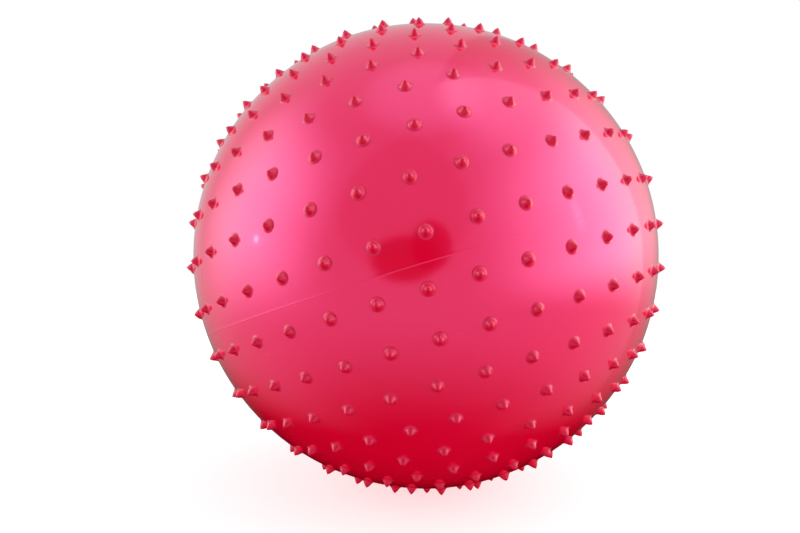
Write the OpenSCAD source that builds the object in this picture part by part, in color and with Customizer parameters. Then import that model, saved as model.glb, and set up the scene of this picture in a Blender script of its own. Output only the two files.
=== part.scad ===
// Inflatable sensory ball of soft PVC: a hollow moulded skin with a parting seam, rows of flared, pointed nubs
// from the seam to both poles, and a valve insert with a pull-out plug at the upper pole.
// The ball lies as it comes to rest, its moulding axis leaning, on the nubs round its lowest point, whose
// tips its weight presses flat. Millimetres, +Z up. The origin is on the floor, below the ball's middle.

/* [Ball] */
// Outside diameter of the skin, without the nubs
ball_d = 550; // [450:5:750]
// Thickness of the skin
skin_wall = 0.8; // [0.6:0.1:2.5]
// Distance of the parting seam below the middle of the ball
seam_drop = 20; // [0:1:30]
// Width of the parting seam's ridge
seam_w = 1.2; // [0.8:0.1:3]
// Height of the parting seam's ridge
seam_h = 0.2; // [0.1:0.05:0.6]

/* [Nubs] */
// Height of a nub above the skin
nub_h = 8; // [6:0.5:12]
// Slope of a nub's side where it leaves the tip, in degrees from the nub's axis
nub_slope = 47; // [40:1:50]
// Radius of a nub's rounded tip
nub_tip_r = 1; // [0.6:0.1:1.5]
// Radius of the bulge of a nub's side
side_r = 20; // [14:1:30]
// Radius of the flare that leads a nub's side into the skin
flare_r = 4; // [2:0.5:5]
// Depth to which the flare's round dips into the skin, which gives its rim a clear edge
flare_dip = 0.15; // [0.1:0.05:0.4]
// Nubs on a row at the seam; rows nearer a pole hold fewer
seam_nubs = 34; // [24:1:38]

/* [Rest] */
// Lean of the moulding axis to the left, in degrees
lean_left = 17; // [10:0.5:24]
// Lean of the moulding axis to the back, in degrees
lean_back = 11.5; // [5:0.5:18]
// Number of nubs that carry the ball
carrying_nubs = 4; // [3:1:5]
// Depth to which the highest of the carrying tips is pressed flat
rest_press = 0.6; // [0.3:0.1:1]

/* [Valve insert] */
// Outside diameter of the neck, which fills the hole in the skin
neck_d = 18; // [16:0.5:24]
// Length of the neck, from the outside of the skin
neck_l = 24; // [20:1:32]
// Diameter of the bore that the plug's ribs grip
bore_d = 9; // [7:0.5:10]
// Diameter of the flange bonded to the inside of the skin
flange_d = 36; // [30:1:48]
// Thickness of the flange
flange_t = 1.5; // [1:0.1:3]
// Diameter of the recess for the plug's head
recess_d = 15; // [13:0.5:15]
// Depth of the recess
recess_h = 2.4; // [1.8:0.1:3.5]

/* [Valve plug] */
// Clearance between the plug's ribs and the bore
rib_clearance = 0.1; // [0.05:0.05:0.3]
// Clearance round and under the plug's head
head_clearance = 0.3; // [0.2:0.05:0.5]
// Diameter of the stem between the ribs
stem_d = 7.4; // [5:0.2:7.6]
// Length of the stem under the head, without its nose
stem_l = 14; // [11:0.5:16]
// Number of ribs round the stem
rib_count = 3; // [2:1:4]
// Radius of a rib's round edge
rib_r = 1.1; // [0.9:0.1:1.4]
// Length of the tapered nose
nose_l = 4; // [2:0.5:4]
// Diameter of the nose at its end
nose_d = 4.6; // [3:0.2:4.8]

/* [Hidden] */
// Facets of the skin's circle and of the small rounds
skin_facets = 256;
$fn = 48;
// One overrun serves all cuts
overrun = 1;

// Places of the rows, as shares of the arc from the seam to the pole, the same in both halves
row_shares = [0.06, 0.18, 0.295, 0.405, 0.51, 0.61, 0.71, 0.81, 0.905];
// Where each row starts, as a share of its own pitch, counted from the front of the ball
upper_turn_shares = [0.25, 0.26, 0.62, 0.67, 0.16, 0.32, 0.62, 0.75, 0.6];
lower_turn_shares = [0.99, 0.93, 0.6, 0.75, 0.25, 0.25, 0.5, 0.5, 0.5];
// How evenly the nubs are spread: at 1 all rows have the same pitch, below it the rows near a pole crowd
spread_share = 0.82;
// Turn of the ball's front about the moulding axis
front_turn = -90;
upper = 1;
lower = -1;
rows = len(row_shares);

ball_r = ball_d / 2;
inner_r = ball_r - skin_wall;
seam_angle = -asin(seam_drop / ball_r);
// The seam's ridge is a round of this radius, sunk into the skin
seam_round_r = (pow(seam_w / 2, 2) + pow(seam_h, 2)) / (2 * seam_h);
seam_round_reach = ball_r + seam_h - seam_round_r;

// A nub's outline lies in a half plane through the middle of the ball, with the nub's axis upright: the round
// of the tip, then the bulge of the side, which the tip's round touches from inside at the slope
nub_reach = ball_r + nub_h;
tip_reach = nub_reach - nub_tip_r;
side_leaving = [cos(nub_slope), sin(nub_slope)];
side_centre = [0, tip_reach] - (side_r - nub_tip_r) * side_leaving;
side_top = [0, tip_reach] + nub_tip_r * side_leaving;
// The flare's round touches the bulge from outside, and its centre lies just short of flare_r off the skin
flare_reach = ball_r + flare_r - flare_dip;
flare_off = side_r + flare_r;
side_reach = norm(side_centre);
side_line = side_centre / side_reach;
flare_along = (pow(flare_reach, 2) - pow(flare_off, 2) + pow(side_reach, 2)) / (2 * side_reach);
flare_across = sqrt(pow(flare_reach, 2) - pow(flare_along, 2));
flare_centre = flare_along * side_line + flare_across * [side_line[1], -side_line[0]];
side_foot = side_centre + (flare_centre - side_centre) * side_r / flare_off;
flare_foot = flare_centre * (flare_reach - flare_r) / flare_reach;

neck_r = neck_d / 2;
bore_r = bore_d / 2;
recess_floor = ball_r - recess_h;
head_r = recess_d / 2 - head_clearance;
head_foot = recess_floor + head_clearance;
stem_r = stem_d / 2;
stem_foot = head_foot - stem_l;
rib_centre_r = bore_r - rib_clearance - rib_r;
rib_pitch = stem_l / (rib_count + 1);

// Straight down, seen in the mould's own frame, and the turn about its axis at which the floor lies
down = [-sin(lean_left), sin(lean_back) * cos(lean_left), -cos(lean_back) * cos(lean_left)];
floor_turn = atan2(down[1], down[0]);

// Angle of a row above the ball's middle
function row_angle(half, row) =
    seam_angle + half * row_shares[row - 1] * (90 - half * seam_angle);
// Number of nubs on a row, and the angle from one to the next
function row_count(row) = round(seam_nubs * pow(cos(90 * row_shares[row - 1]), spread_share));
function row_pitch(row) = 360 / row_count(row);
// The ball settles with its lowest point between nubs, so the two rows beside that point stand astride it
row_step = 90 * (row_shares[rows - 1] - row_shares[0]) / (rows - 1);
function beside_floor(half, row) = half == lower && abs(row_angle(half, row) - asin(down[2])) < row_step;
function row_turn(half, row) =
    beside_floor(half, row)
        ? floor_turn + row_pitch(row) / 2
        : front_turn + row_pitch(row) * (half == upper ? upper_turn_shares : lower_turn_shares)[row - 1];
function nub_turn(half, row, n) = row_turn(half, row) + n * row_pitch(row);

// Depth of a nub's tip below the ball's middle
function tip_depth(angle, turn) =
    nub_reach * (down * [cos(angle) * cos(turn), cos(angle) * sin(turn), sin(angle)]);
tip_depths = [
    for (row = [1 : rows])
        for (n = [0 : row_count(row) - 1])
            tip_depth(row_angle(lower, row), nub_turn(lower, row, n))
];
function as_deep_as(depth) = len([for (d = tip_depths) if (d >= depth) d]);
carrying_depth = max([for (d = tip_depths) if (as_deep_as(d) >= carrying_nubs) d]);
middle_h = carrying_depth - rest_press;

// Stands the mould's frame, with its axis upright and the ball's middle as its origin, in its resting place
module in_place() {
    translate([0, 0, middle_h])
        rotate([-lean_back, -lean_left, 0])
            children();
}

// Removes the left half of an outline, and turns the rest about the axis
module turned(facets) {
    rotate_extrude($fn = facets)
        difference() {
            children();
            translate([-ball_d, -ball_d])
                square([ball_d, 2 * ball_d]);
        }
}

// Everything below the floor
module below_floor() {
    translate([-ball_r, -ball_r, -ball_r])
        cube([ball_d, ball_d, ball_r]);
}

module skin_outline() {
    difference() {
        union() {
            circle(r = ball_r, $fn = skin_facets);
            translate(seam_round_reach * [cos(seam_angle), sin(seam_angle)])
                circle(r = seam_round_r);
        }
        circle(r = inner_r, $fn = skin_facets);
        translate([0, inner_r - neck_l])
            square([neck_r, neck_l + skin_wall + overrun]);
    }
}

module skin() {
    color("crimson")
        in_place()
            turned(skin_facets)
                skin_outline();
}

// One nub on the upright axis: a pointed dome with a round tip, flared into the skin that it stands on
module nub() {
    turned($fn)
        difference() {
            union() {
                intersection() {
                    translate(side_centre)
                        circle(r = side_r);
                    translate([0, flare_foot[1]])
                        square([side_r, side_top[1] - flare_foot[1]]);
                }
                polygon([[0, flare_foot[1]], flare_foot, side_foot, [0, side_foot[1]]]);
                translate([0, tip_reach])
                    circle(r = nub_tip_r);
            }
            translate(flare_centre)
                circle(r = flare_r);
            circle(r = ball_r, $fn = skin_facets);
        }
}

module placed_nub(angle, turn) {
    rotate([0, 90 - angle, turn])
        nub();
}

// Nubs at the given turns, all at one angle above the middle; those that reach the floor are pressed flat on it
module nubs_at(angle, turns) {
    carriers = [for (turn = turns) if (tip_depth(angle, turn) > middle_h) turn];
    color("crimson") {
        in_place()
            for (turn = turns)
                if (tip_depth(angle, turn) <= middle_h)
                    placed_nub(angle, turn);
        if (len(carriers) > 0)
            difference() {
                in_place()
                    for (turn = carriers)
                        placed_nub(angle, turn);
                below_floor();
            }
    }
}

module nub_row(half, row) {
    nubs_at(row_angle(half, row), [for (n = [0 : row_count(row) - 1]) nub_turn(half, row, n)]);
}

module lower_pole_nub() {
    nubs_at(-90, [0]);
}

// A neck that fills the hole in the skin, with a curved flange under the skin and a stepped bore for the plug
module valve_insert() {
    color("crimson")
        in_place()
            turned($fn)
                difference() {
                    union() {
                        intersection() {
                            translate([0, ball_r - neck_l])
                                square([neck_r, neck_l + overrun]);
                            circle(r = ball_r, $fn = skin_facets);
                        }
                        intersection() {
                            difference() {
                                circle(r = inner_r, $fn = skin_facets);
                                circle(r = inner_r - flange_t, $fn = skin_facets);
                            }
                            square([flange_d / 2, ball_d]);
                        }
                    }
                    translate([0, ball_r - neck_l - overrun])
                        square([bore_r, neck_l + 2 * overrun]);
                    translate([0, recess_floor])
                        square([recess_d / 2, recess_h + overrun]);
                }
}

// A stopper with a head flush with the skin, round ribs that grip the bore, and a tapered nose
module valve_plug() {
    color("whitesmoke")
        in_place() {
            turned($fn)
                intersection() {
                    polygon([
                        [0, ball_r + overrun],
                        [head_r, ball_r + overrun],
                        [head_r, head_foot],
                        [stem_r, head_foot],
                        [stem_r, stem_foot],
                        [nose_d / 2, stem_foot - nose_l],
                        [0, stem_foot - nose_l]
                    ]);
                    circle(r = ball_r, $fn = skin_facets);
                }
            for (rib = [1 : rib_count])
                translate([0, 0, head_foot - rib * rib_pitch])
                    rotate_extrude()
                        translate([rib_centre_r, 0])
                            circle(r = rib_r);
        }
}

skin();
valve_insert();
valve_plug();
for (row = [1 : rows])
    nub_row(upper, row);
for (row = [1 : rows])
    nub_row(lower, row);
lower_pole_nub();
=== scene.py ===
"""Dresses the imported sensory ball: a pearly, inflatable PVC ball with rows of flared nubs and a flush valve.

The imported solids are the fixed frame. Each of them is replaced by a surface of its own, worked out in numpy
from the same measures and given a moulded vinyl finish. Metres, +Z up, the ball resting on z = 0.
"""

import logging
import math
from collections.abc import Sequence
from dataclasses import dataclass, field
from enum import Enum

import bpy
import numpy as np
from bpy.types import Material, Node, NodeSocket, NodeTree, Object
from mathutils import Matrix, Vector


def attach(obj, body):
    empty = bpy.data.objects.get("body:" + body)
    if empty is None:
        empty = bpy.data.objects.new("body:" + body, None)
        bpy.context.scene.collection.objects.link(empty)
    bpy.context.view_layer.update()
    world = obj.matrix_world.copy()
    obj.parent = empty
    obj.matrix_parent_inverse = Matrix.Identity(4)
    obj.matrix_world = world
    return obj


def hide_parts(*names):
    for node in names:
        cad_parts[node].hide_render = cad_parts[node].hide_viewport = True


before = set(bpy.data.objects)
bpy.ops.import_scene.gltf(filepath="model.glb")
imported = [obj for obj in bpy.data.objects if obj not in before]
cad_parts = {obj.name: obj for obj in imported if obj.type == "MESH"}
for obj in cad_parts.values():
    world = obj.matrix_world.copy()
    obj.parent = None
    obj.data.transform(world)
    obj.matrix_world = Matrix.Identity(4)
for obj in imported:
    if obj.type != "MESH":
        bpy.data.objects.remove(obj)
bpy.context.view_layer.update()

LOG = logging.getLogger("sensory_ball")
Pair = tuple[float, float]
Triple = tuple[float, float, float]


class Half(Enum):
    """The two halves of the mould, either side of the parting seam."""

    UPPER = 1
    LOWER = -1


class Slot(Enum):
    """The record's material slots."""

    SKIN = "pvc_skin"
    NUBS = "pvc_nubs"
    VALVE = "valve_white"


class Body(Enum):
    """The bodies that the pieces ride on."""

    BALL = "ball"
    PLUG = "plug"


@dataclass
class Surface:
    """A closed mesh in the making.

    Attributes:
        vertices: One point a row.
        quads: Four vertex numbers a row, counter-clockwise seen from outside.
        triangles: Three vertex numbers a row, likewise.
        normals: One normal for each corner of the quads and then of the triangles, or None to smooth plainly.
        rise: For each vertex of a nub 0 at its foot to 1 at its tip, or None.
    """

    vertices: np.ndarray
    quads: np.ndarray
    triangles: np.ndarray
    normals: np.ndarray | None = None
    rise: np.ndarray | None = None

    def build(self, name: str, crease: float = math.radians(35.0)) -> Object:
        """Makes the mesh and its object, smooth except across creases.

        Args:
            name: Name of the piece.
            crease: Angle between two faces past which their edge stays sharp, where no normals are given.

        Returns:
            The object, linked to the scene at the origin.
        """
        mesh = bpy.data.meshes.new(name)
        mesh.from_pydata(self.vertices.tolist(), [], self.quads.tolist() + self.triangles.tolist())
        mesh.polygons.foreach_set("use_smooth", np.ones(len(mesh.polygons), bool))
        if self.normals is None:
            mesh.set_sharp_from_angle(angle=crease)
        else:
            mesh.normals_split_custom_set(self.normals.tolist())
        if self.rise is not None:
            rise = mesh.attributes.new("rise", "FLOAT", "POINT")
            rise.data.foreach_set("value", self.rise.astype(np.float32))
        mesh.update()
        piece = bpy.data.objects.new(name, mesh)
        bpy.context.scene.collection.objects.link(piece)
        return piece


def arc(centre: Sequence[float], radius: float, start: float, end: float, count: int) -> np.ndarray:
    """Gives count points on a circle, from the start angle to the end angle, both included."""
    angle = np.linspace(start, end, count)
    return np.stack([centre[0] + radius * np.cos(angle), centre[1] + radius * np.sin(angle)], axis=-1)


def ring_quads(rings: int, steps: int, closed: bool) -> np.ndarray:
    """Joins rings of vertices into quads.

    Vertex i of ring k has the number k * steps + i. A quad takes i and i + 1 on ring k and on the next ring.

    Args:
        rings: Number of rings.
        steps: Vertices on a ring.
        closed: Whether the last ring is joined to the first.

    Returns:
        Four vertex numbers a row.
    """
    ring = np.arange(rings if closed else rings - 1)[:, None]
    above = (ring + 1) % rings
    here = np.arange(steps)[None]
    after = (here + 1) % steps
    corners = [ring * steps + here, ring * steps + after, above * steps + after, above * steps + here]
    return np.stack(corners, axis=-1).reshape(-1, 4)


def turned_rings(profile: np.ndarray, steps: int) -> np.ndarray:
    """Carries profile points round the z axis: at angle t the point (r, z) is at (r cos t, r sin t, z).

    Args:
        profile: Points (r, z).
        steps: Number of steps in a turn.

    Returns:
        The points, one ring after another.
    """
    turn = 2 * math.pi * np.arange(steps) / steps
    radius, height = profile[:, :1], profile[:, 1:]
    parts = [radius * np.cos(turn), radius * np.sin(turn), np.broadcast_to(height, (len(profile), steps))]
    return np.stack(parts, axis=-1).reshape(-1, 3)


def turned_solid(profile: np.ndarray, steps: int) -> Surface:
    """Turns a profile that starts and ends on the z axis into a closed solid.

    Args:
        profile: Points (r, z), up the outside and, where the solid is hollow, down its inside.
        steps: Number of steps in a turn.

    Returns:
        The surface, with one vertex for each end. The triangles at the profile's first end come first.
    """
    rings = turned_rings(profile[1:-1], steps)
    ends = np.array([[0.0, 0.0, profile[0, 1]], [0.0, 0.0, profile[-1, 1]]])
    here = np.arange(steps)
    after = (here + 1) % steps
    top = len(rings) - steps
    triangles = np.concatenate(
        [
            np.stack([np.full(steps, len(rings)), after, here], axis=-1),
            np.stack([top + here, top + after, np.full(steps, len(rings) + 1)], axis=-1),
        ]
    )
    return Surface(np.concatenate([rings, ends]), ring_quads(len(profile) - 2, steps, False), triangles)


def turned_ring(profile: np.ndarray, steps: int) -> Surface:
    """Turns a closed loop of points (r, z), up its outside and down its bore, about the z axis."""
    quads = ring_quads(len(profile), steps, True)
    return Surface(turned_rings(profile, steps), quads, np.empty((0, 3), int))


def rounded(corners: np.ndarray, cut: float, steps: int, limit: float = 0.4) -> np.ndarray:
    """Rounds the corners of a closed loop.

    Each corner C becomes a parabola from A to B, the points the cut's length before and after it:
    (1 - t)^2 A + 2 t (1 - t) C + t^2 B.

    Args:
        corners: Points (r, z) of the loop.
        cut: Length taken off each side at a corner.
        steps: Points on each round.
        limit: Greatest share of the shorter side that the cut takes.

    Returns:
        The points of the rounded loop.
    """
    before = np.roll(corners, 1, axis=0) - corners
    after = np.roll(corners, -1, axis=0) - corners
    before_length = np.linalg.norm(before, axis=1, keepdims=True)
    after_length = np.linalg.norm(after, axis=1, keepdims=True)
    length = np.minimum(cut, limit * np.minimum(before_length, after_length))
    start = corners + before / before_length * length
    end = corners + after / after_length * length
    t = np.linspace(0.0, 1.0, steps)[None, :, None]
    bent = (1 - t) ** 2 * start[:, None] + 2 * t * (1 - t) * corners[:, None] + t**2 * end[:, None]
    return bent.reshape(-1, 2)


@dataclass(frozen=True)
class Mould:
    """The mould's frame: its origin is the middle of the ball and its z axis the moulding axis, valve up.

    Attributes:
        middle_height: Height of the ball's middle above the floor.
        swell: Height of one wave of the skin's unevenness.
        waves: How fast each wave runs along x, y and z.
        phases: Where each wave starts, in radians.
    """

    lean_left: float = math.radians(17.0)
    lean_back: float = math.radians(11.5)
    middle_height: float = 0.280723
    ball_radius: float = 0.275
    swell: float = 0.00009
    waves: tuple[Triple, ...] = (
        (7.0, 3.0, -4.0),
        (-5.0, 8.0, 2.0),
        (3.0, -6.0, 9.0),
        (11.0, 4.0, 6.0),
        (-8.0, -9.0, 7.0),
    )
    phases: tuple[float, ...] = (0.4, 1.9, 3.1, 4.4, 5.6)

    def lean(self) -> np.ndarray:
        """Gives the matrix that leans the axis back about x and then to the left about y."""
        turn = Matrix.Rotation(-self.lean_left, 3, "Y") @ Matrix.Rotation(-self.lean_back, 3, "X")
        return np.array(turn)

    def uneven(self, points: np.ndarray) -> np.ndarray:
        """Gives points their share of the blown skin's unevenness.

        A point in direction d moves out by swell times the sum of sin(w . d + p) over waves w and phases p.

        Args:
            points: Points in the mould's frame.

        Returns:
            The moved points.
        """
        direction = points / np.linalg.norm(points, axis=-1, keepdims=True)
        heights = np.sin(direction @ np.array(self.waves).T + np.array(self.phases))
        return points + direction * (self.swell * heights.sum(axis=-1, keepdims=True))

    def place(self, points: np.ndarray) -> np.ndarray:
        """Moves points from the mould's frame to where the ball rests."""
        return self.uneven(points) @ self.lean().T + np.array([0.0, 0.0, self.middle_height])


class Nodes:
    """A node tree with short calls for adding nodes and joining them.

    Attributes:
        MIX_INPUTS: Numbers of the Mix node's inputs for its share and its two colours.
        MIX_RESULT: Number of its output for a colour.
    """

    MIX_INPUTS: tuple[int, int, int] = (0, 6, 7)
    MIX_RESULT: int = 2

    def __init__(self, tree: NodeTree) -> None:
        """Takes the tree over and empties it."""
        self.tree = tree
        tree.nodes.clear()

    def add(self, kind: str, inputs: dict | None = None, **settings: object) -> Node:
        """Adds a node.

        Args:
            kind: The node's type without the prefix ShaderNode.
            inputs: Values or sockets for its inputs, by name or number.
            settings: Properties of the node.

        Returns:
            The node.
        """
        prefix = "" if kind.startswith("Node") else "ShaderNode"
        node = self.tree.nodes.new(prefix + kind)
        for name, value in settings.items():
            setattr(node, name, value)
        for name, value in (inputs or {}).items():
            if isinstance(value, NodeSocket):
                self.tree.links.new(value, node.inputs[name])
            else:
                node.inputs[name].default_value = value
        return node

    def math(self, operation: str, *values: object) -> NodeSocket:
        """Adds a Math node and gives its output."""
        return self.add("Math", dict(enumerate(values)), operation=operation).outputs[0]

    def ramp(
        self, value: object, start: object, end: object, low: float = 0.0, high: float = 1.0
    ) -> NodeSocket:
        """Adds a smooth step from low, where the value is at start, to high, where it is at end."""
        inputs = {"Value": value, "From Min": start, "From Max": end, "To Min": low, "To Max": high}
        return self.add("MapRange", inputs, interpolation_type="SMOOTHSTEP").outputs["Result"]

    def noise(self, place: object, scale: object, **look: float) -> NodeSocket:
        """Adds a noise, whose other inputs are set by name, and gives its value."""
        return self.add("TexNoise", {"Vector": place, "Scale": scale, **look}).outputs["Fac"]

    def blend(self, share: object, first: object, second: object, mode: str = "MIX") -> NodeSocket:
        """Adds a mix of two colours and gives its output."""
        inputs = dict(zip(self.MIX_INPUTS, (share, first, second)))
        return self.add("Mix", inputs, data_type="RGBA", blend_type=mode).outputs[self.MIX_RESULT]


@dataclass
class VinylEffects:
    """The surface effects that the vinyl finishes share, as shader node groups.

    Attributes:
        drift_limits: Noise between which the pigment goes from even to drifted.
        grain_ratio: How many times finer the grain is than the ripples.
        grain_share: Height of the grain, as a share of the ripples'.
        speck_edge: Share of a speck's size at which its edge starts to fade.
        least_speck: Least size of a speck, so that nothing is divided by zero.
        scuff_lays: How each set of scuffs is turned, and how much finer it is across than along.
        streak_limits: Noise between which a scuff goes from none to full.
        break_limits: Noise between which a scuff goes from broken off to whole.
    """

    drift_limits: Pair = (0.3, 0.7)
    grain_ratio: float = 6.0
    grain_share: float = 0.12
    speck_edge: float = 0.6
    least_speck: float = 0.0001
    scuff_lays: tuple[tuple[Triple, Triple], ...] = (
        ((0.3, 0.5, 0.2), (1.0, 60.0, 60.0)),
        ((1.2, -0.4, 0.9), (60.0, 1.0, 60.0)),
    )
    streak_limits: Pair = (0.74, 0.8)
    break_limits: Pair = (0.5, 0.62)
    moulding: NodeTree = field(init=False)
    marks: NodeTree = field(init=False)

    def __post_init__(self) -> None:
        """Builds both groups."""
        self.moulding = self._moulding()
        self.marks = self._marks()

    @staticmethod
    def _group(name: str, inputs: dict[str, float], outputs: tuple[str, ...]) -> tuple[NodeTree, Nodes]:
        """Starts a node group.

        Args:
            name: Name of the group.
            inputs: Its number inputs with their default values. A vector input named Place comes before them.
            outputs: Names of its number outputs.

        Returns:
            The group and its nodes.
        """
        tree = bpy.data.node_groups.new(name, "ShaderNodeTree")
        tree.interface.new_socket("Place", in_out="INPUT", socket_type="NodeSocketVector")
        for title, value in inputs.items():
            socket = tree.interface.new_socket(title, in_out="INPUT", socket_type="NodeSocketFloat")
            socket.default_value = value
        for title in outputs:
            tree.interface.new_socket(title, in_out="OUTPUT", socket_type="NodeSocketFloat")
        return tree, Nodes(tree)

    def _moulding(self) -> NodeTree:
        """Builds the traces of moulding: Mottle, the pigment's slow drift, and Peel, the height of ripples.

        Returns:
            The group.
        """
        inputs = {"Drift Scale": 9.0, "Peel Scale": 170.0}
        tree, nodes = self._group("moulding_traces", inputs, ("Mottle", "Peel"))
        given = nodes.add("NodeGroupInput").outputs
        place = given["Place"]
        drift = nodes.noise(place, given["Drift Scale"], Detail=4.0, Roughness=0.55, Distortion=0.6)
        peel = nodes.noise(place, given["Peel Scale"], Detail=2.0)
        fine_scale = nodes.math("MULTIPLY", given["Peel Scale"], self.grain_ratio)
        grain = nodes.noise(place, fine_scale, Detail=1.0)
        height = nodes.math("MULTIPLY_ADD", grain, self.grain_share, peel)
        mottle = nodes.ramp(drift, *self.drift_limits)
        nodes.add("NodeGroupOutput", {"Mottle": mottle, "Peel": height})
        return tree

    def _marks(self) -> NodeTree:
        """Builds the marks of handling: Specks of dust, as round dots, and Scuffs, as short hairlines.

        Returns:
            The group.
        """
        inputs = {"Speck Scale": 26.0, "Speck Size": 0.03, "Scuff Scale": 7.0}
        tree, nodes = self._group("handling_marks", inputs, ("Specks", "Scuffs"))
        given = nodes.add("NodeGroupInput").outputs
        place = given["Place"]
        cells = nodes.add("TexVoronoi", {"Vector": place, "Scale": given["Speck Scale"]})
        chance = nodes.add("SeparateColor", {"Color": cells.outputs["Color"]}).outputs["Red"]
        size = nodes.math("MULTIPLY", given["Speck Size"], nodes.math("POWER", chance, 2.0))
        size = nodes.math("MAXIMUM", size, self.least_speck)
        inside = nodes.math("DIVIDE", cells.outputs["Distance"], size)
        specks = nodes.ramp(inside, 1.0, self.speck_edge)
        lines = []
        for turn, stretch in self.scuff_lays:
            laid = nodes.add("Mapping", {"Vector": place, "Rotation": turn, "Scale": stretch})
            streak = nodes.noise(laid.outputs["Vector"], given["Scuff Scale"], Detail=1.0)
            lines.append(nodes.ramp(streak, *self.streak_limits))
        broken = nodes.noise(place, given["Scuff Scale"], Detail=2.0)
        shown = nodes.ramp(broken, *self.break_limits)
        scuffs = nodes.math("MULTIPLY", nodes.math("MAXIMUM", *lines), shown)
        nodes.add("NodeGroupOutput", {"Specks": specks, "Scuffs": scuffs})
        return tree


@dataclass(frozen=True)
class VinylFinish:
    """A moulded soft vinyl: a pigmented body under a tinted pearl gloss and a clear surface.

    Attributes:
        name: Name of the material.
        colour: Colour of the body.
        drifted: Colour that the pigment drifts to.
        pale: Colour of dust and of scuffs.
        pearl_tint: Tint of the gloss seen straight on.
        pearl_index: Refractive index that sets the strength of the pearl gloss.
        roughness: Roughness of the pearl gloss, where the pigment is even and where it has drifted.
        coat: Strength and roughness of the clear surface.
        drift_scale: How many drifts there are to a metre.
        peel: Ripples to a metre, and their height in metres.
        scuffed: How much the scuffs show.
        painted_glow: Painted light: a colour that the surface emits evenly, standing in for light shining
            through the thin skin from inside.
        foot: Colour of a nub's foot, where it leaves the pearly skin, or None for pieces without nubs.
        tip: Colour of a nub's tip, darker than its body as painted shade, or None likewise.
        foot_limits: Rise between which a nub goes from its foot's colour to its own.
        tip_limits: Rise between which it goes from plain to the tip's painted shade and wear.
        tip_shade_share: How much of the tip's painted shade colour the tip takes on.
        tip_rough: Roughness that the rubbing adds.
        tip_coat: Share of the clear surface that the rubbing leaves.
        scuff_rough: Roughness that a full scuff adds.
    """

    name: str
    colour: Triple
    drifted: Triple
    pale: Triple
    pearl_tint: Triple
    pearl_index: float
    roughness: Pair
    coat: Pair
    drift_scale: float
    peel: Pair
    scuffed: float
    painted_glow: Triple
    foot: Triple | None = None
    tip: Triple | None = None
    foot_limits: Pair = (0.02, 0.3)
    tip_limits: Pair = (0.62, 0.9)
    tip_shade_share: float = 0.8
    tip_rough: float = 0.06
    tip_coat: float = 0.7
    scuff_rough: float = 0.3

    def material(self, effects: VinylEffects) -> Material:
        """Makes the material.

        Args:
            effects: The shared node groups.

        Returns:
            The material.
        """
        material = bpy.data.materials.new(self.name)
        material.use_nodes = True
        nodes = Nodes(material.node_tree)
        place = nodes.add("TexCoord").outputs["Object"]
        scales = {"Place": place, "Drift Scale": self.drift_scale, "Peel Scale": self.peel[0]}
        moulding = nodes.add("Group", scales, node_tree=effects.moulding).outputs
        marks = nodes.add("Group", {"Place": place}, node_tree=effects.marks).outputs
        colour = nodes.blend(moulding["Mottle"], (*self.colour, 1.0), (*self.drifted, 1.0))
        rough = nodes.ramp(moulding["Mottle"], 0.0, 1.0, *self.roughness)
        coat = self.coat[0]
        if self.foot is not None and self.tip is not None:
            rise = nodes.add("Attribute", attribute_name="rise").outputs["Fac"]
            footed = nodes.ramp(rise, *self.foot_limits, 1.0, 0.0)
            colour = nodes.blend(footed, colour, (*self.foot, 1.0))
            # Towards the tip the colour darkens as painted shade; the added roughness and thinner clear
            # surface are real wear.
            rubbed_and_shaded = nodes.ramp(rise, *self.tip_limits)
            colour = nodes.blend(nodes.math("MULTIPLY", rubbed_and_shaded, self.tip_shade_share), colour, (*self.tip, 1.0))
            rough = nodes.math("MULTIPLY_ADD", rubbed_and_shaded, self.tip_rough, rough)
            coat = nodes.ramp(rise, *self.tip_limits, coat, self.tip_coat * coat)
        worn = nodes.math("MULTIPLY", marks["Scuffs"], self.scuffed)
        marked = nodes.math("MAXIMUM", worn, marks["Specks"])
        colour = nodes.blend(marked, colour, (*self.pale, 1.0))
        bump = nodes.add("Bump", {"Strength": 1.0, "Distance": self.peel[1], "Height": moulding["Peel"]})
        shader = nodes.add(
            "BsdfPrincipled",
            {
                "Base Color": colour,
                "Roughness": nodes.math("MULTIPLY_ADD", worn, self.scuff_rough, rough),
                "IOR": self.pearl_index,
                "Specular Tint": (*self.pearl_tint, 1.0),
                "Coat Weight": coat,
                "Coat Roughness": self.coat[1],
                # Emission: painted light, an even emitted colour that lifts the shade everywhere, standing in
                # for light through the skin.
                "Emission Color": (*self.painted_glow, 1.0),
                "Emission Strength": 1.0,
                "Normal": bump.outputs["Normal"],
            },
        )
        nodes.add("OutputMaterial", {"Surface": shader.outputs["BSDF"]})
        return material


def dress(piece: Object, material: Material, body: Body, node: str) -> None:
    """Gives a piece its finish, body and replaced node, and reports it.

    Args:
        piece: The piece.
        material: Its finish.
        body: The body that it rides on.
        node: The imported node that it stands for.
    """
    piece.data.materials.append(material)
    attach(piece, body.value)
    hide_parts(node)
    faces = len(piece.data.polygons)
    LOG.info("%s: %d faces, rides on %s, stands for %s", piece.name, faces, body.value, node)


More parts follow.
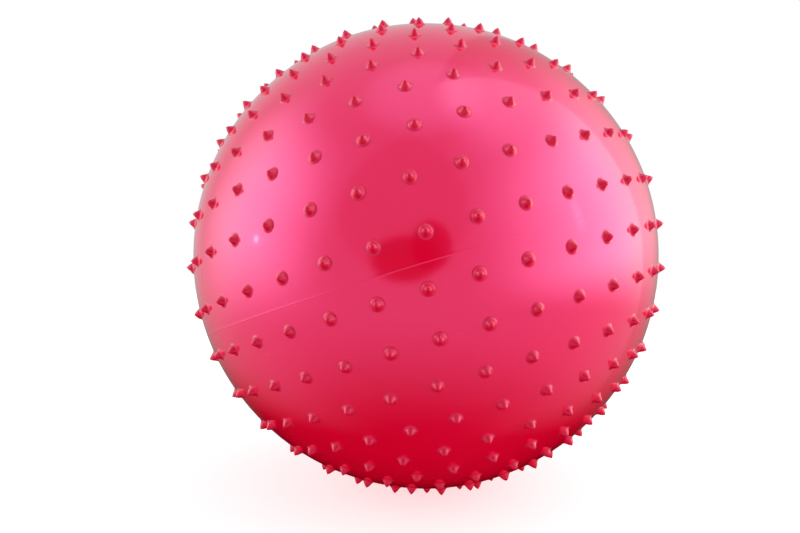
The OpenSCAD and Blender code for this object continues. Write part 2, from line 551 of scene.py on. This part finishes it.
@dataclass(frozen=True)
class BallSkin:
    """The hollow moulded skin, with the parting seam's ridge and the hole for the valve."""

    mould: Mould
    wall: float = 0.0008
    seam_drop: float = 0.020
    seam_width: float = 0.0012
    seam_height: float = 0.0001
    hole_radius: float = 0.009
    steps: int = 320
    outer_rows: int = 180
    inner_rows: int = 60
    seam_rows: int = 13

    def seam_angle(self) -> float:
        """Gives the angle of the seam above the ball's middle."""
        return -math.asin(self.seam_drop / self.mould.ball_radius)

    def reach(self, angle: np.ndarray) -> np.ndarray:
        """Gives the outside's distance from the middle at angles above it.

        It is the ball's radius, and across the seam also one wave of a cosine, h (1 + cos(2 pi x / w)) / 2,
        with x the distance from the seam along the skin.

        Args:
            angle: Angles above the middle.

        Returns:
            The distances.
        """
        across = self.mould.ball_radius * (angle - self.seam_angle()) / self.seam_width
        ridge = self.seam_height * (1 + np.cos(2 * math.pi * np.clip(across, -0.5, 0.5))) / 2
        return self.mould.ball_radius + ridge

    def profile(self) -> np.ndarray:
        """Gives the shell's outline: up the outside from the lower pole, in at the hole and down the inside.

        Returns:
            Points (r, z).
        """
        radius = self.mould.ball_radius
        inner = radius - self.wall
        rim = math.acos(self.hole_radius / radius)
        inner_rim = math.acos(self.hole_radius / inner)
        across = np.linspace(-1.0, 1.0, self.seam_rows) * self.seam_width / 2 / radius
        rows = np.linspace(-math.pi / 2, rim, self.outer_rows)
        angle = np.sort(np.concatenate([rows, self.seam_angle() + across]))
        outside = self.reach(angle)[:, None] * np.stack([np.cos(angle), np.sin(angle)], axis=-1)
        inside = arc((0.0, 0.0), inner, inner_rim, -math.pi / 2, self.inner_rows)
        return np.concatenate([outside, inside])

    def build(self, material: Material) -> None:
        """Builds the skin.

        Args:
            material: Its finish.
        """
        surface = turned_solid(self.profile(), self.steps)
        surface.vertices = self.mould.place(surface.vertices)
        dress(surface.build("ball_skin"), material, Body.BALL, "skin")


@dataclass(frozen=True)
class Nub:
    """One nub on the upright axis: a pointed dome, led into the skin by a hollow flare.

    Attributes:
        slope: Angle above the horizon of the normal where the side meets the round of the tip.
        flare_dip: How far the flare runs into the skin.
        crown_radius: Distance of the side's last ring from the axis.
        side_points: Points on the side, with the one that it shares with the flare.
    """

    ball_radius: float
    height: float = 0.008
    slope: float = math.radians(47.0)
    tip_radius: float = 0.001
    side_radius: float = 0.020
    flare_radius: float = 0.004
    flare_dip: float = 0.00015
    crown_radius: float = 0.0027
    sides: int = 14
    flare_points: int = 3
    side_points: int = 2

    def outline(self) -> tuple[np.ndarray, np.ndarray]:
        """Gives the outline from the foot to the tip.

        The round of the tip is an arc about a centre on the axis, and the side a bulging arc that leaves it
        as a tangent, at the slope. The flare is a hollow arc that touches the side's arc and, but for the
        dip, the skin. The side is drawn up to the crown. From there a cone ends in the tip, and its normals
        do the rounding.

        Returns:
            Points (r, z), and the outline's normals at them.
        """
        tip_centre = np.array([0.0, self.ball_radius + self.height - self.tip_radius])
        leaving = np.array([math.cos(self.slope), math.sin(self.slope)])
        side_centre = tip_centre - (self.side_radius - self.tip_radius) * leaving
        flare_reach = self.ball_radius + self.flare_radius - self.flare_dip
        apart = self.side_radius + self.flare_radius
        side_reach = np.linalg.norm(side_centre)
        along = (flare_reach**2 - apart**2 + side_reach**2) / (2 * side_reach)
        toward = side_centre / side_reach
        across = np.array([toward[1], -toward[0]])
        flare_centre = along * toward + math.sqrt(flare_reach**2 - along**2) * across
        touch = flare_centre - side_centre
        touch_angle = math.atan2(touch[1], touch[0])
        foot_angle = math.atan2(-flare_centre[1], -flare_centre[0])
        flare = arc(flare_centre, self.flare_radius, foot_angle, touch_angle - math.pi, self.flare_points)
        crown_angle = math.acos((self.crown_radius - side_centre[0]) / self.side_radius)
        side = arc(side_centre, self.side_radius, touch_angle, crown_angle, self.side_points)[1:]
        tip = tip_centre + np.array([[0.0, self.tip_radius]])
        flare_normals = (flare_centre - flare) / self.flare_radius
        side_normals = (side - side_centre) / self.side_radius
        normals = np.concatenate([flare_normals, side_normals, [[0.0, 1.0]]])
        return np.concatenate([flare, side, tip]), normals

    def surface(self) -> Surface:
        """Turns the outline into a closed solid, with the outline's own normals on all but its base.

        Returns:
            The surface, with its normals and its rise.
        """
        outline, normals = self.outline()
        base = np.array([[0.0, outline[0, 1]]])
        surface = turned_solid(np.concatenate([base, outline]), self.sides)
        down, up = [0.0, 0.0, -1.0], [0.0, 0.0, 1.0]
        spun = np.concatenate([turned_rings(normals[:-1], self.sides), [down, up]])
        corners = spun[surface.triangles]
        corners[: self.sides] = down
        surface.normals = np.concatenate([spun[surface.quads].reshape(-1, 3), corners.reshape(-1, 3)])
        reach = surface.vertices[:, 2]
        surface.rise = (reach - reach.min()) / (reach.max() - reach.min())
        return surface


@dataclass(frozen=True)
class NubPattern:
    """The rows of nubs from the seam to both poles.

    Attributes:
        nub: The nub that is repeated.
        seam_angle: Angle of the seam above the ball's middle.
        row_shares: Places of the rows, as shares of the arc from the seam to the pole.
        upper_turn_shares: Where each upper row starts, as a share of its pitch, counted from the front.
        lower_turn_shares: The same for the lower rows.
        front_turn: Turn about the axis at which the front lies.
        seam_nubs: Nubs on a row at the seam.
        spread_share: How evenly the nubs are spread over the rows.
        bend: Greatest sideways bend of a tip, in metres.
        seed: Seed of the bends.
    """

    mould: Mould
    nub: Nub
    seam_angle: float
    row_shares: tuple[float, ...] = (0.06, 0.18, 0.295, 0.405, 0.51, 0.61, 0.71, 0.81, 0.905)
    upper_turn_shares: tuple[float, ...] = (0.25, 0.26, 0.62, 0.67, 0.16, 0.32, 0.62, 0.75, 0.6)
    lower_turn_shares: tuple[float, ...] = (0.99, 0.93, 0.6, 0.75, 0.25, 0.25, 0.5, 0.5, 0.5)
    front_turn: float = -math.pi / 2
    seam_nubs: int = 34
    spread_share: float = 0.82
    bend: float = 0.0004
    seed: int = 11

    def floor_direction(self) -> np.ndarray:
        """Gives straight down in the mould's frame."""
        return self.mould.lean().T @ np.array([0.0, 0.0, -1.0])

    def row(self, half: Half, number: int) -> tuple[float, np.ndarray]:
        """Works out where a row stands.

        A row at share s of the arc holds seam_nubs * cos(90 s) ^ spread_share nubs, rounded. The two lower
        rows beside the lowest point stand astride it, the others start at their turn share from the front.

        Args:
            half: Half of the mould.
            number: Number of the row, from 1 at the seam.

        Returns:
            Its angle above the middle, and its nubs' turns about the axis.
        """
        share = self.row_shares[number - 1]
        angle = self.seam_angle + half.value * share * (math.pi / 2 - half.value * self.seam_angle)
        count = round(self.seam_nubs * math.cos(math.pi / 2 * share) ** self.spread_share)
        pitch = 2 * math.pi / count
        floor = self.floor_direction()
        step = math.pi / 2 * (self.row_shares[-1] - self.row_shares[0]) / (len(self.row_shares) - 1)
        if half is Half.LOWER and abs(angle - math.asin(floor[2])) < step:
            start = math.atan2(floor[1], floor[0]) + pitch / 2
        else:
            shares = self.upper_turn_shares if half is Half.UPPER else self.lower_turn_shares
            start = self.front_turn + pitch * shares[number - 1]
        return angle, start + pitch * np.arange(count)

    def nubs(self, angle: float, turns: np.ndarray, random: np.random.Generator) -> Surface:
        """Repeats the nub at one angle above the middle.

        Each copy is tipped by 90 degrees less the angle about y and turned about z. Its points are first
        pushed sideways by the square of their rise, as a soft tip bends. Points below the floor are lifted
        onto it.

        Args:
            angle: Angle above the middle.
            turns: Turns about the axis.
            random: Source of the bends.

        Returns:
            One surface with all the nubs.
        """
        single = self.nub.surface()
        count, size = len(turns), len(single.vertices)
        tipped = np.array(Matrix.Rotation(math.pi / 2 - angle, 3, "Y"))
        zero, one = np.zeros(count), np.ones(count)
        cos, sin = np.cos(turns), np.sin(turns)
        about_z = np.stack([cos, -sin, zero, sin, cos, zero, zero, zero, one], axis=-1)
        turned = about_z.reshape(-1, 3, 3) @ tipped
        sideways = random.uniform(-self.bend, self.bend, (count, 2))
        bends = np.concatenate([sideways, zero[:, None]], axis=-1)
        bent = single.vertices[None] + bends[:, None] * single.rise[None, :, None] ** 2
        points = np.einsum("nij,nvj->nvi", turned, bent).reshape(-1, 3)
        points = self.mould.place(points)
        points[:, 2] = np.maximum(points[:, 2], 0.0)
        normals = np.einsum("nij,cj->nci", self.mould.lean() @ turned, single.normals)
        split = 4 * len(single.quads)
        first = (size * np.arange(count))[:, None, None]
        return Surface(
            points,
            (single.quads[None] + first).reshape(-1, 4),
            (single.triangles[None] + first).reshape(-1, 3),
            np.concatenate([normals[:, :split].reshape(-1, 3), normals[:, split:].reshape(-1, 3)]),
            np.tile(single.rise, count),
        )

    def build(self, material: Material) -> None:
        """Builds every row, and the single nub at the lower pole.

        Args:
            material: Their finish.
        """
        random = np.random.default_rng(self.seed)
        for half in Half:
            for number in range(1, len(self.row_shares) + 1):
                node = f"{half.name.lower()}_nub_row_{number}"
                piece = self.nubs(*self.row(half, number), random).build(f"soft_{node}")
                dress(piece, material, Body.BALL, node)
        piece = self.nubs(-math.pi / 2, np.zeros(1), random).build("soft_lower_pole_nub")
        dress(piece, material, Body.BALL, "lower_pole_nub")


@dataclass(frozen=True)
class Valve:
    """The moulded neck bonded into the skin, and the ribbed plug that closes it.

    Attributes:
        neck_length: Length of the neck from the ball's outside inwards.
        edge: Length by which edges are rounded.
        nose_flat: Share of the nose's end that is flat.
        groove: Depth of the groove on the head, and dimple that of the dimple in its middle.
    """

    mould: Mould
    skin_wall: float = 0.0008
    neck_radius: float = 0.009
    neck_length: float = 0.024
    bore_radius: float = 0.0045
    flange_radius: float = 0.018
    flange: float = 0.0015
    recess_radius: float = 0.0075
    recess: float = 0.0024
    edge: float = 0.0003
    rib_clearance: float = 0.0001
    head_clearance: float = 0.0003
    stem_radius: float = 0.0037
    stem_length: float = 0.014
    ribs: int = 3
    rib_radius: float = 0.0011
    nose_length: float = 0.004
    nose_radius: float = 0.0023
    nose_flat: float = 0.86
    groove_radius: float = 0.0048
    groove: float = 0.0002
    groove_width: float = 0.0005
    dimple: float = 0.0004
    dimple_width: float = 0.0011
    steps: int = 64
    edge_points: int = 4
    rim_points: int = 5
    stem_points: int = 71
    face_points: int = 40

    def insert_profile(self) -> np.ndarray:
        """Gives the insert's outline: up the neck, round the flange, over the rim and down the stepped bore.

        Returns:
            Points (r, z) of a closed loop with rounded corners.
        """
        ball = self.mould.ball_radius
        inner = ball - self.skin_wall
        under = inner - self.flange
        foot = ball - self.neck_length

        def on(reach: float, radius: float) -> Pair:
            """Gives the point at a radius from the axis and a distance from the ball's middle."""
            return radius, math.sqrt(reach**2 - radius**2)

        corners = np.array(
            [
                (self.neck_radius, foot),
                on(under, self.neck_radius),
                on(under, self.flange_radius),
                on(inner, self.flange_radius),
                on(inner, self.neck_radius),
                on(ball, self.neck_radius),
                on(ball, self.recess_radius),
                (self.recess_radius, ball - self.recess),
                (self.bore_radius, ball - self.recess),
                (self.bore_radius, foot),
            ]
        )
        return rounded(corners, self.edge, self.edge_points)

    def plug_profile(self) -> np.ndarray:
        """Gives the plug's outline from the nose to the head.

        The stem's radius is the largest of its own and each rib's, where a rib at height h and distance c
        from the axis reaches c + sqrt(r^2 - (z - h)^2). The head follows the ball, less a groove and a
        dimple, each its depth times exp(-(x / w)^2), with x the distance from its middle and w half its
        width.

        Returns:
            Points (r, z), both ends on the axis.
        """
        ball = self.mould.ball_radius
        head_foot = ball - self.recess + self.head_clearance
        stem_foot = head_foot - self.stem_length
        nose_foot = stem_foot - self.nose_length
        height = np.linspace(stem_foot, head_foot, self.stem_points)
        rib_heights = head_foot - self.stem_length * np.arange(1, self.ribs + 1) / (self.ribs + 1)
        rib_centre = self.bore_radius - self.rib_clearance - self.rib_radius
        off = np.maximum(self.rib_radius**2 - (height[:, None] - rib_heights) ** 2, 0.0)
        stem = np.maximum(self.stem_radius, (rib_centre + np.sqrt(off)).max(axis=1))
        head_radius = self.recess_radius - self.head_clearance
        nose_flat = self.nose_flat * self.nose_radius
        nose = [[0.0, nose_foot], [nose_flat, nose_foot], [self.nose_radius, nose_foot + self.edge]]
        rim_top = math.sqrt(ball**2 - head_radius**2)
        rim_radius = head_radius - self.edge
        lower_rim = arc((rim_radius, head_foot + self.edge), self.edge, -math.pi / 2, 0.0, self.edge_points)
        upper_rim = arc((rim_radius, rim_top - self.edge), self.edge, 0.0, math.pi / 2, self.rim_points)
        radius = np.linspace(head_radius - 2 * self.edge, 0.0, self.face_points)
        sunk = self.groove * np.exp(-(((radius - self.groove_radius) / self.groove_width) ** 2))
        dimple = self.dimple * np.exp(-((radius / self.dimple_width) ** 2))
        face = np.stack([radius, np.sqrt(ball**2 - radius**2) - sunk - dimple], axis=-1)
        return np.concatenate([nose, np.stack([stem, height], axis=-1), lower_rim, upper_rim, face])

    def build(self, skin: Material, white: Material) -> None:
        """Builds the insert in the skin's finish and the plug in its own.

        Args:
            skin: The skin's finish.
            white: The plug's finish.
        """
        insert = turned_ring(self.insert_profile(), self.steps)
        insert.vertices = self.mould.place(insert.vertices)
        dress(insert.build("valve_neck"), skin, Body.BALL, "valve_insert")
        plug = turned_solid(self.plug_profile(), self.steps)
        plug.vertices = self.mould.place(plug.vertices)
        dress(plug.build("valve_stopper"), white, Body.PLUG, "valve_plug")


@dataclass(frozen=True)
class SkyWindow:
    """A lamp of the studio's surroundings: a patch with soft edges, as the ball sees it.

    Attributes:
        azimuth: Where it starts, is full, is full last and ends, in degrees right of the camera's side.
        elevation: The same in degrees above the horizon.
        level: Light that the patch adds.
    """

    azimuth: tuple[float, float, float, float]
    elevation: tuple[float, float, float, float]
    level: float

    def light(self, nodes: Nodes, azimuth: object, elevation: object) -> NodeSocket:
        """Adds the nodes of the patch: its level times a smooth step at each of its four edges.

        Args:
            nodes: Nodes of the world.
            azimuth: Degrees right of the camera's side, over the sky.
            elevation: Degrees above the horizon.

        Returns:
            The patch's light over the sky.
        """
        spans = []
        for value, edges in ((azimuth, self.azimuth), (elevation, self.elevation)):
            risen = nodes.ramp(value, *edges[:2])
            fallen = nodes.ramp(value, *edges[2:], 1.0, 0.0)
            spans.append(nodes.math("MULTIPLY", risen, fallen))
        return nodes.math("MULTIPLY", nodes.math("MULTIPLY", *spans), self.level)


@dataclass(frozen=True)
class SkyShade:
    """A dark thing in the studio's surroundings: an oval with soft edges, as the ball sees it.

    Attributes:
        middle: Azimuth and elevation of its middle, in degrees.
        reach: Half of its width and of its height, in degrees.
        soft: Share of the reach over which its edge fades.
        share: Share of the light that it takes away.
    """

    middle: Pair
    reach: Pair
    soft: float
    share: float

    def kept(self, nodes: Nodes, azimuth: object, elevation: object) -> NodeSocket:
        """Adds the nodes of the oval: a smooth step over the distance from its middle, in reaches.

        Args:
            nodes: Nodes of the world.
            azimuth: Degrees right of the camera's side, over the sky.
            elevation: Degrees above the horizon.

        Returns:
            The share of the light that the oval leaves, over the sky.
        """
        squares = []
        for value, middle, reach in zip((azimuth, elevation), self.middle, self.reach):
            off = nodes.math("DIVIDE", nodes.math("SUBTRACT", value, middle), reach)
            squares.append(nodes.math("MULTIPLY", off, off))
        off = nodes.math("SQRT", nodes.math("ADD", *squares))
        return nodes.ramp(off, 1.0 - self.soft, 1.0, 1.0 - self.share, 1.0)


@dataclass(frozen=True)
class Studio:
    """The pale floor, the soft light round the ball and the camera at the photograph's angle.

    Attributes:
        distance: Distance of the camera from the ball's middle.
        elevation: Camera's elevation.
        focal_pixels: Focal length in pixels of the frame, and frame_size the frame's width and height.
        ball_pixel: Where the ball's middle lies in the frame.
        sensor: Width of the sensor in millimetres.
        floor_size: Half of the floor's width.
        floor_grey: How much light the floor gives back.
        floor_lift: Light added where the camera sees the floor, so that it is white outside the shadow.
        front_level: Light of the surroundings in front of the ball.
        back_level: Light of the surroundings behind it.
        top_level: Light of the surroundings above it.
        back_turn: Azimuths, in degrees, between which the front's level goes over to the back's.
        top_rise: Elevations, in degrees, between which the top's level comes in.
        front_fall: Elevations, in degrees, at which the light in front of the ball starts and is full.
        back_fall: The same behind it.
        fall_turn: Azimuths, in degrees, between which the front's fall goes over to the back's.
        lamps: Soft windows of light round the ball, the fourth of them small and bright.
        shades: Dark things round the ball.
        warm: Tint of the brightest light.
        warm_levels: Levels between which that tint comes in.
        cool: Tint of the light from above.
        cool_rise: Elevations, in degrees, between which that tint comes in.
    """

    mould: Mould
    distance: float = 1.140
    elevation: float = math.radians(9.0)
    focal_pixels: float = 935.8
    frame_size: Pair = (800.0, 533.0)
    ball_pixel: Pair = (424.4, 256.4)
    sensor: float = 36.0
    floor_size: float = 1.3
    floor_grey: float = 0.75
    floor_lift: float = 0.64
    front_level: float = 0.46
    back_level: float = 0.54
    top_level: float = 0.84
    back_turn: Pair = (20.0, 110.0)
    top_rise: Pair = (45.0, 80.0)
    front_fall: Pair = (-79.0, -13.0)
    back_fall: Pair = (-28.0, 0.0)
    fall_turn: Pair = (85.0, 170.0)
    lamps: tuple[SkyWindow, ...] = (
        SkyWindow((14.0, 100.0, 104.0, 162.0), (-18.0, 1.0, 25.0, 66.0), 1.85),
        SkyWindow((-140.0, -99.0, -93.0, -42.0), (-26.0, 8.0, 22.0, 58.0), 1.57),
        SkyWindow((10.0, 75.0, 110.0, 170.0), (44.0, 64.0, 78.0, 89.0), 0.65),
        SkyWindow((-89.6, -87.8, -87.2, -85.4), (4.7, 6.3, 6.7, 8.3), 5.0),
        SkyWindow((74.0, 77.5, 78.5, 82.0), (8.0, 15.0, 19.0, 26.0), 0.6),
    )
    shades: tuple[SkyShade, ...] = (
        SkyShade((-10.0, 7.0), (19.0, 12.5), 0.3, 0.85),
        SkyShade((2.0, 13.5), (11.0, 13.0), 0.25, 0.9),
        SkyShade((-12.0, 32.0), (37.0, 34.0), 0.15, 0.2),
        SkyShade((146.0, 15.0), (24.0, 75.0), 0.1, 0.28),
    )
    warm: Triple = (1.0, 1.0, 0.86)
    warm_levels: Pair = (0.6, 1.9)
    cool: Triple = (0.84, 1.0, 1.0)
    cool_rise: Pair = (5.0, 55.0)

    def floor(self) -> None:
        """Lays the floor: a plain pale sheet, white to the camera apart from the ball's shadow.

        The ball's gloss shows the surroundings' own lower half in its place.
        """
        corners = self.floor_size * np.array([[-1, -1, 0], [1, -1, 0], [1, 1, 0], [-1, 1, 0]])
        sheet = Surface(corners, np.array([[0, 1, 2, 3]]), np.empty((0, 3), int)).build("studio_floor")
        material = bpy.data.materials.new("studio_paper")
        material.use_nodes = True
        nodes = Nodes(material.node_tree)
        paper = nodes.add("BsdfDiffuse", {"Color": (*[self.floor_grey] * 3, 1.0)})
        seen = nodes.add("LightPath").outputs["Is Camera Ray"]
        lift = nodes.add("Emission", {"Strength": nodes.math("MULTIPLY", seen, self.floor_lift)})
        lit = nodes.add("AddShader", {0: paper.outputs["BSDF"], 1: lift.outputs["Emission"]})
        nodes.add("OutputMaterial", {"Surface": lit.outputs["Shader"]})
        sheet.data.materials.append(material)
        sheet.visible_glossy = False

    def surroundings(self) -> None:
        """Lights the ball by the studio round it, which the camera itself sees as plain white.

        The light's level goes from the front's to the back's with the azimuth's size, rises to the top's and
        falls off downwards. Each lamp adds its patch and each shade takes its share away. Bright light is a
        little warm, and light from above a little cool.
        """
        world = bpy.data.worlds.new("studio")
        bpy.context.scene.world = world
        world.use_nodes = True
        nodes = Nodes(world.node_tree)
        toward = nodes.add("SeparateXYZ", {"Vector": nodes.add("TexCoord").outputs["Generated"]}).outputs
        turned = nodes.math("ARCTAN2", toward["X"], nodes.math("MULTIPLY", toward["Y"], -1.0))
        azimuth = nodes.math("DEGREES", turned)
        elevation = nodes.math("DEGREES", nodes.math("ARCSINE", toward["Z"]))
        around = nodes.math("ABSOLUTE", azimuth)
        level = nodes.ramp(around, *self.back_turn, self.front_level, self.back_level)
        level = nodes.math("MAXIMUM", level, nodes.ramp(elevation, *self.top_rise, 0.0, self.top_level))
        edges = [nodes.ramp(around, *self.fall_turn, *ends) for ends in zip(self.front_fall, self.back_fall)]
        level = nodes.math("MULTIPLY", level, nodes.ramp(elevation, *edges))
        for lamp in self.lamps:
            level = nodes.math("ADD", level, lamp.light(nodes, azimuth, elevation))
        for shade in self.shades:
            level = nodes.math("MULTIPLY", level, shade.kept(nodes, azimuth, elevation))
        plain = (1.0, 1.0, 1.0, 1.0)
        tint = nodes.blend(nodes.ramp(level, *self.warm_levels), plain, (*self.warm, 1.0))
        tint = nodes.blend(nodes.ramp(elevation, *self.cool_rise), tint, (*self.cool, 1.0), "MULTIPLY")
        studio = nodes.add("Background", {"Color": tint, "Strength": level})
        white = nodes.add("Background", {"Color": plain, "Strength": 1.0})
        seen = nodes.add("LightPath").outputs["Is Camera Ray"]
        mixed = nodes.add("MixShader", {0: seen, 1: studio.outputs[0], 2: white.outputs[0]})
        nodes.add("OutputWorld", {"Surface": mixed.outputs["Shader"]})

    def camera(self) -> None:
        """Sets the camera so that the ball's middle falls on its pixel of the frame."""
        data = bpy.data.cameras.new("photo_camera")
        data.sensor_width = self.sensor
        data.sensor_fit = "HORIZONTAL"
        data.lens = self.focal_pixels * self.sensor / self.frame_size[0]
        camera = bpy.data.objects.new("photo_camera", data)
        bpy.context.scene.collection.objects.link(camera)
        forward = Vector((0.0, math.cos(self.elevation), -math.sin(self.elevation)))
        right = Vector((1.0, 0.0, 0.0))
        up = right.cross(forward)
        across = (self.ball_pixel[0] - self.frame_size[0] / 2) / self.focal_pixels
        down = (self.ball_pixel[1] - self.frame_size[1] / 2) / self.focal_pixels
        sight = (forward + across * right - down * up).normalized()
        camera.location = Vector((0.0, 0.0, self.mould.middle_height)) - self.distance * sight
        camera.rotation_euler = forward.to_track_quat("-Z", "Y").to_euler()
        bpy.context.scene.camera = camera

    def build(self) -> None:
        """Sets up the floor, the light and the camera."""
        self.floor()
        self.surroundings()
        self.camera()
        bpy.context.scene.view_settings.view_transform = "Standard"


SKIN_FINISH = VinylFinish(
    name="pearl_vinyl",
    colour=(0.88, 0.0, 0.035),
    drifted=(0.92, 0.001, 0.043),
    pale=(0.9, 0.35, 0.45),
    pearl_tint=(1.0, 0.165, 0.715),
    pearl_index=3.2,
    roughness=(0.13, 0.16),
    coat=(1.0, 0.06),
    drift_scale=9.0,
    peel=(120.0, 0.00001),
    scuffed=0.12,
    # Emitted colour: painted light that lifts the skin's shade.
    painted_glow=(0.285, 0.0, 0.007),
)
NUB_FINISH = VinylFinish(
    name="nub_vinyl",
    colour=(0.8, 0.0, 0.045),
    drifted=(0.84, 0.001, 0.052),
    pale=(0.9, 0.35, 0.45),
    pearl_tint=(1.0, 0.26, 0.75),
    pearl_index=1.75,
    roughness=(0.1, 0.14),
    coat=(0.6, 0.05),
    drift_scale=40.0,
    peel=(400.0, 0.000008),
    scuffed=0.1,
    # Emitted colour: painted light that lifts the nubs' shade.
    painted_glow=(0.13, 0.0, 0.002),
    foot=(0.86, 0.014, 0.09),
    # Tip colour: painted shade, darker than the nub's body.
    tip=(0.72, 0.0, 0.04),
)
PLUG_FINISH = VinylFinish(
    name="plug_vinyl",
    colour=(0.80, 0.78, 0.74),
    drifted=(0.74, 0.72, 0.67),
    pale=(0.6, 0.57, 0.52),
    pearl_tint=(1.0, 1.0, 1.0),
    pearl_index=1.5,
    roughness=(0.35, 0.45),
    coat=(0.2, 0.2),
    drift_scale=120.0,
    peel=(900.0, 0.00001),
    scuffed=0.3,
    painted_glow=(0.0, 0.0, 0.0),
)


def main() -> None:
    """Builds the ball's pieces in order and sets up the studio."""
    logging.basicConfig(level=logging.INFO, format="%(message)s")
    effects = VinylEffects()
    finishes = (SKIN_FINISH, NUB_FINISH, PLUG_FINISH)
    pearl, nub_vinyl, white = (finish.material(effects) for finish in finishes)
    mould = Mould()
    skin = BallSkin(mould)
    skin.build(pearl)
    NubPattern(mould, Nub(mould.ball_radius), skin.seam_angle()).build(nub_vinyl)
    Valve(mould).build(pearl, white)
    Studio(mould).build()


if __name__ == "__main__":
    main()
